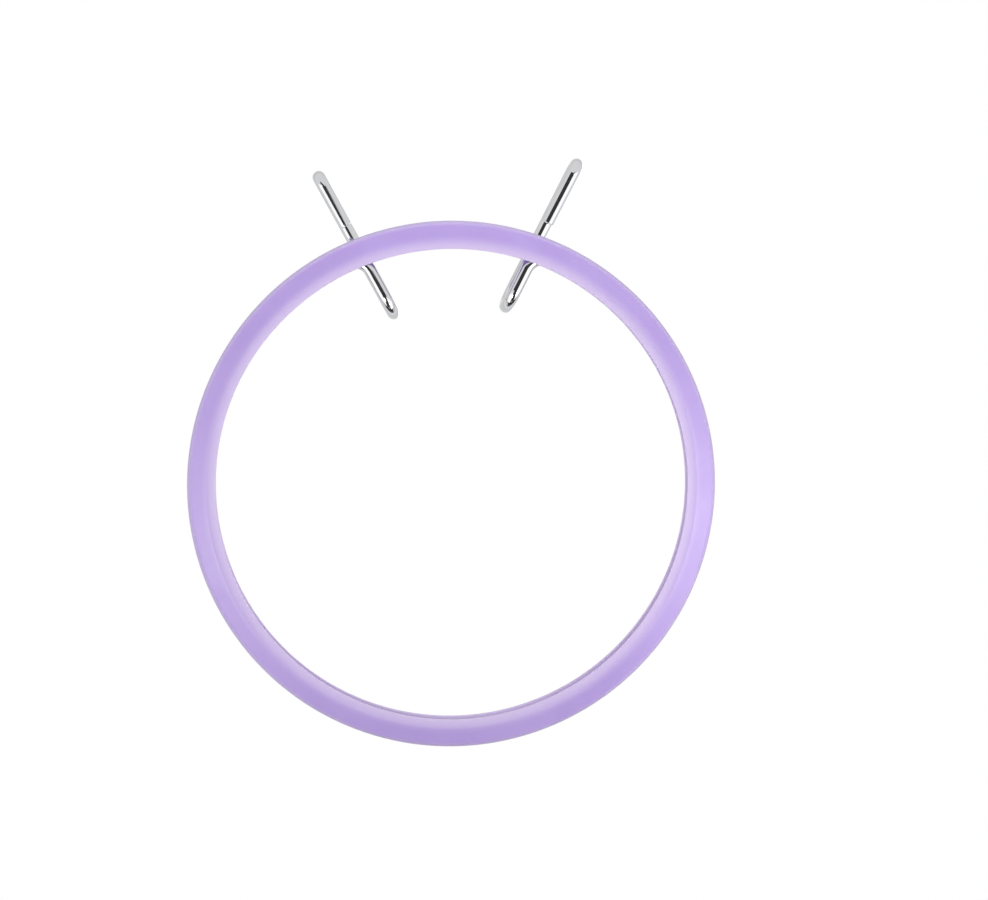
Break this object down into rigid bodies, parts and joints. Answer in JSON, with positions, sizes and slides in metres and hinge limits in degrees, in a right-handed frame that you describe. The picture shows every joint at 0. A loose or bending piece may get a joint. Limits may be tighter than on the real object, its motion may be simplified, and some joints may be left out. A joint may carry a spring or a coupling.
{
  "type": "spring tension embroidery hoop",
  "caption": "Round grooved plastic hoop with an internal sprung wire ring whose two folded handles squeeze together to release the cloth.",
  "frame": {"origin": "centre of the plastic ring, half way up its height", "axes": "+Z along the ring's axis, away from the face it rests on and towards the raised wire handles; +Y from the ring's centre to midway between the handles; +X to the right seen from above"},
  "size_m": [0.13, 0.1448, 0.0148],
  "materials": {
    "ring_plastic": "satin lavender moulding, slightly translucent",
    "spring_wire": "bright nickel plated spring wire"
  },
  "bodies": {
    "hoop": {"outer_ring": "ring_plastic"},
    "spring": {"spring_back": "spring_wire"},
    "right_handle": {"right_arm": "spring_wire"},
    "left_handle": {"left_arm": "spring_wire"}
  },
  "joints": [
    {"name": "spring_turn", "type": "hinge", "parent": "hoop", "child": "spring", "pos_m": [0, 0, 0], "axis": [0, 0, 1], "continuous": true},
    {"name": "right_squeeze", "type": "hinge", "parent": "spring", "child": "right_handle", "pos_m": [0.04147, -0.04147, 0], "axis": [0, 0, 1], "range_deg": [0, 8], "stiffness_Nm_per_rad": 3, "springref_deg": -2.86},
    {"name": "left_squeeze", "type": "hinge", "parent": "spring", "child": "left_handle", "pos_m": [-0.04147, -0.04147, 0], "axis": [0, 0, 1], "range_deg": [-8, 0], "stiffness_Nm_per_rad": 3, "springref_deg": 2.86}
  ],
  "couplings": [
    {"joint": "left_squeeze", "follows": "right_squeeze", "ratio": -1}
  ]
}
